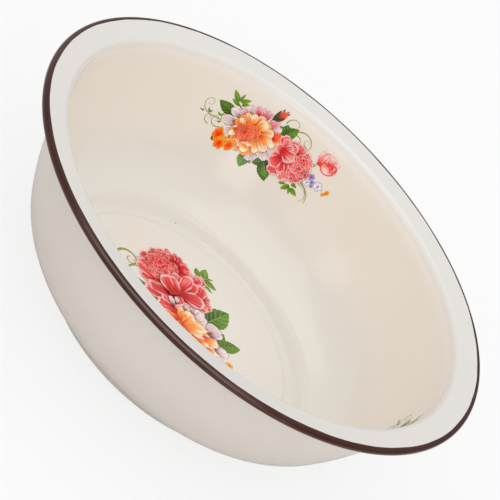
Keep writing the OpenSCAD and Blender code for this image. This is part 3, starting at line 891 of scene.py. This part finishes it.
def streaks(n, card, count, low, high, shift):
    """Streaks that run along a card: noise stretched along it."""
    where = {0: n.times(card.across, count), 1: n.times(card.along, STREAK_STRETCH),
             2: n.math("ADD", card.seed, shift)}
    return n.ramp(n.noise(n.add("ShaderNodeCombineXYZ", where).outputs[0], 1.0, 1.0), low, high)


# A petal along its length: how far soft streaks push its tones, and where the middle and the rim
# colour come in. Its light rim and dark outline, each across and along, where the rim starts, and the
# black in the outline
WAVER, MIDDLE_SPAN, RIM_SPAN = 0.3, (0.2, 0.6), (0.58, 1.08)
EDGE_ACROSS, EDGE_ALONG, EDGE_START = (0.72, 0.86), (0.83, 0.92), (0.15, 0.5)
LINE_ACROSS, LINE_ALONG, LINE_BLACK = (0.89, 0.97), (0.95, 0.99), 0.15
PAINT_GLOSS = (0.16, 1.5)


def petal_tone(n, card):
    """Petals: deep at the root, then the middle colour, then as much of the rim colour as the paint
    says; streaked along, with a light rim and a thin dark outline."""
    waver = n.scaled(streaks(n, card, *SOFT_STREAKS), WAVER, card.along)
    tone = n.mix(n.ramp(waver, *MIDDLE_SPAN), card.deep, card.middle)
    tone = n.mix(n.times(n.ramp(waver, *RIM_SPAN), card.reach), tone, card.rim)
    tone = n.mix(n.times(streaks(n, card, *DARK_STREAKS), card.veins, DARK_SHARE), tone, card.deep)
    light = n.times(streaks(n, card, *LIGHT_STREAKS), card.veins)
    tone = n.mix(n.times(light, n.ramp(card.along, *LIGHT_SPAN)), tone, card.rim)
    edge = n.math("MAXIMUM", n.ramp(card.off_middle, *EDGE_ACROSS), n.ramp(card.along, *EDGE_ALONG))
    tone = n.mix(n.times(edge, card.rims, n.ramp(card.along, *EDGE_START)), tone, card.rim)
    line = n.math("MAXIMUM", n.ramp(card.off_middle, *LINE_ACROSS), n.ramp(card.along, *LINE_ALONG))
    return n.mix(n.times(line, card.lines), tone, n.mix(LINE_BLACK, card.deep, (0, 0, 0, 1)))


# A leaf's lighter half and its share, the share of soft streaks, and how it lightens along. Its side
# veins by their slant, count, width and the shade between them, and its midrib and outline
HALF_SPAN, HALF_SHARE, SOFT_SHARE = (0.45, 0.55), 0.3, 0.4
ALONG_SPAN, ALONG_SHARE = (0.05, 0.7), 0.45
VEIN_SLANT, VEIN_COUNT, VEIN_SPAN, VEIN_SHARE = -1.6, 5.0, (0.09, 0.02), 0.5
SHADE_SPAN, SHADE_SHARE = (0.34, 0.46), 0.45
MIDRIB_SPAN, LEAF_LINE = (0.09, 0.03), (0.86, 0.98)


def leaf_tone(n, card):
    """Leaves: a light midrib and side veins, one half lighter than the other, dark at the root."""
    soft = n.times(streaks(n, card, *SOFT_STREAKS), SOFT_SHARE)
    light = n.scaled(n.ramp(card.across, *HALF_SPAN), HALF_SHARE, soft)
    light = n.scaled(n.ramp(card.along, *ALONG_SPAN), ALONG_SHARE, light)
    tone = n.mix(light, card.deep, card.middle)
    slant = n.scaled(card.off_middle, VEIN_SLANT, n.times(card.along, VEIN_COUNT))
    comb = n.math("PINGPONG", slant, 0.5)
    ribs = n.math("MAXIMUM", n.ramp(comb, *VEIN_SPAN), n.ramp(card.off_middle, *MIDRIB_SPAN))
    tone = n.mix(n.times(ribs, card.veins, VEIN_SHARE), tone, card.rim)
    tone = n.mix(n.times(n.ramp(comb, *SHADE_SPAN), card.veins, SHADE_SHARE), tone, card.deep)
    return n.mix(n.times(n.ramp(card.off_middle, *LEAF_LINE), card.lines), tone, card.deep)


def card_material(name, tone_of):
    """Fired paint: its tone and its gloss."""
    made, n, shader = material(name)
    n.glaze(shader, tone_of(n, card_look(n)), *PAINT_GLOSS)
    return made


SPRAY_BEARINGS = (106.0, 223.5, 340.0)
WALL_SEED, BASE_SEED = 11, 12


def build_sprays():
    """Three sprays round the wall and one on the base panel."""
    paints = [card_material("flower colours", petal_tone), card_material("leaf colours", leaf_tone)]
    design = wall_design(WALL_SEED)
    for k, bearing in enumerate(SPRAY_BEARINGS, 1):
        build_spray("wall_flowers_%d" % k, "wall_spray_%d" % k, design, on_wall(bearing), paints)
    build_spray("base_flowers", "base_spray", base_design(BASE_SEED), on_base, paints)


# Camera of the photograph: straight ahead of the basin, above it, rolled by an eighth of a turn
LENS, SENSOR_W = 145.75, 36.0
ELEVATION = math.radians(30.14)
ROLL = math.radians(45.12)
AIM = Vector((1.28, -47.23, 110.17)) * MM
AIM_DISTANCE = 1.282
NEAREST, FARTHEST = 0.01, 100


def build_camera():
    """A camera that looks at the aim point along +Y and down, rolled about its own axis."""
    data = bpy.data.cameras.new("camera")
    data.lens, data.sensor_width = LENS, SENSOR_W
    data.clip_start, data.clip_end = NEAREST, FARTHEST
    camera = bpy.data.objects.new("camera", data)
    bpy.context.scene.collection.objects.link(camera)
    turned_by = Matrix.Rotation(math.pi / 2 - ELEVATION, 4, "X") @ Matrix.Rotation(ROLL, 4, "Z")
    back = Vector((0, -math.cos(ELEVATION), math.sin(ELEVATION)))
    camera.matrix_world = Matrix.Translation(AIM + back * AIM_DISTANCE) @ turned_by
    bpy.context.scene.camera = camera


FLOOR_R, FLOOR_SIDES = 12.0, 96
FLOOR_Z = -0.05 * MM
FLOOR_WHITE = (0.8, 0.8, 0.8, 1)
FLOOR_ROUGH = 0.9
FLOOR_GLOW = 0.8


def build_floor():
    """A pale round floor that keeps a soft shadow and otherwise shows white to the camera."""
    ring = np.arange(FLOOR_SIDES)
    edge = np.c_[polar(FLOOR_R, ring * 2 * math.pi / FLOOR_SIDES), np.full(FLOOR_SIDES, FLOOR_Z)]
    tris = np.c_[0 * ring, 1 + ring, 1 + np.roll(ring, -1)]
    floor = mesh_piece("floor", np.vstack([[0, 0, FLOOR_Z], edge]), (), tris)
    made, n, shader = material("floor")
    for key, value in (("Base Color", FLOOR_WHITE), ("Roughness", FLOOR_ROUGH), ("Specular IOR Level", 0.0)):
        shader.inputs[key].default_value = value
    glow = n.add("ShaderNodeEmission", {"Color": (1, 1, 1, 1), "Strength": 1.0})
    seen = n.times(n.add("ShaderNodeLightPath").outputs["Is Camera Ray"], FLOOR_GLOW)
    both = n.add("ShaderNodeMixShader", {0: seen, 1: shader.outputs[0], 2: glow.outputs[0]})
    n.link(both.outputs[0], n.tree.nodes["Material Output"], 0)
    paint(floor, made)


# Strength of the studio round the basin. Light it gives: from high up, and lower down from behind
# and from the camera's side
LIGHT_HIGH, LIGHT_BACK, LIGHT_FRONT = 1.14, 0.37, 1.03
# Brightness it shows in the glaze: high up, and in two belts, each right behind, left behind, left in
# front and right in front
SHOWN_HIGH = 0.50
SHOWN_BELT = (0.44, 0.77, 0.66, 0.02)
SHOWN_LOW = (0.04, 0.42, 0.16, 0.02)
# Heights of a direction where the high part and the upper belt begin, and how softly quarters meet
HIGH_START, BELT_START, QUARTER_SOFT = (0.4, 0.6), (0.12, 0.28), (-0.15, 0.15)
# The box overhead that the glaze shows: its brightness, its edges left, right, near and far, how far in
# they fade, and the height of a direction where it begins
SHOWN_BOX = 1.3
BOX_EDGES = (-0.50, 0.33, -0.68, 0.60)
BOX_SOFT = 0.10
BOX_START = (0.3, 0.5)


def quarters(n, right, behind, values):
    """One of four values by quarter: right behind, left behind, left in front, right in front."""
    return n.between(behind, n.between(right, values[2], values[3]), n.between(right, values[1], values[0]))


def box_mask(n, x, y, z):
    """One inside the box overhead, by the direction's x and y, fading to nought at its edges."""
    left, right, near, far = BOX_EDGES
    return n.times(n.band(x, left, left + BOX_SOFT, right - BOX_SOFT, right),
                   n.band(y, near, near + BOX_SOFT, far - BOX_SOFT, far), n.ramp(z, *BOX_START))


def build_world():
    """A white studio. The light it gives and the brightness the glaze shows of it are set apart, because
    the softboxes stand in for its bright parts."""
    world = bpy.data.worlds.new("world")
    world.use_nodes = True
    bpy.context.scene.world = world
    n = Nodes(world.node_tree)
    path = n.add("ShaderNodeLightPath").outputs
    x, y, z = n.split(n.add("ShaderNodeTexCoord").outputs["Generated"])
    high, raised = n.ramp(z, *HIGH_START), n.ramp(z, *BELT_START)
    right, behind = n.ramp(x, *QUARTER_SOFT), n.ramp(y, *QUARTER_SOFT)
    light = n.between(high, n.between(behind, LIGHT_FRONT, LIGHT_BACK), LIGHT_HIGH)
    belt, low = quarters(n, right, behind, SHOWN_BELT), quarters(n, right, behind, SHOWN_LOW)
    shown = n.between(high, n.between(raised, low, belt), SHOWN_HIGH)
    shown = n.between(box_mask(n, x, y, z), shown, SHOWN_BOX)
    strength = n.between(path["Is Glossy Ray"], light, shown)
    seen = n.math("ADD", path["Is Camera Ray"], path["Is Transmission Ray"], clamp=True)
    back = n.tree.nodes["Background"]
    back.inputs["Color"].default_value = (1, 1, 1, 1)
    n.link(n.between(seen, strength, 1.0), back, "Strength")


# One softbox on each side of the camera, and a small one low down on the right: bearing, elevation and
# distance, width and height, and brightness
SOFTBOXES = {
    "left_box": (228, 25, 1.8, 0.75, 0.85, 0.84),
    "right_box": (306, 25, 1.8, 0.75, 0.85, 1.69),
    "low_box": (318, 6, 1.9, 0.6, 0.4, 3.0),
}
LAMP_AIM = Vector((0, 0, 0.06))
SOFT_EDGE = 0.16


def softbox(name, bearing, elevation, distance, width, height, radiance):
    """A rectangular lamp that faces the basin, with the given brightness at its middle and soft edges."""
    data = bpy.data.lights.new(name, "AREA")
    data.shape = "RECTANGLE"
    data.size, data.size_y = width, height
    data.energy = radiance * width * height * math.pi
    data.use_nodes = True
    n = Nodes(data.node_tree)
    place = n.split(n.add("ShaderNodeNewGeometry").outputs["Parametric"])
    fade = n.times(*[n.ramp(n.math("PINGPONG", place[k], 0.5), 0.0, SOFT_EDGE) for k in range(2)])
    n.link(fade, n.tree.nodes["Emission"], "Strength")
    lamp = bpy.data.objects.new(name, data)
    bpy.context.scene.collection.objects.link(lamp)
    b, e = math.radians(bearing), math.radians(elevation)
    centre = Vector((math.cos(e) * math.cos(b), math.cos(e) * math.sin(b), math.sin(e))) * distance
    facing = (LAMP_AIM - centre).to_track_quat("-Z", "Y")
    lamp.matrix_world = Matrix.Translation(centre) @ facing.to_matrix().to_4x4()


bpy.context.scene.view_settings.view_transform = "Standard"
build_camera()
build_floor()
build_world()
for lamp_name, lamp_place in SOFTBOXES.items():
    softbox(lamp_name, *lamp_place)
build_coats()
build_sprays()
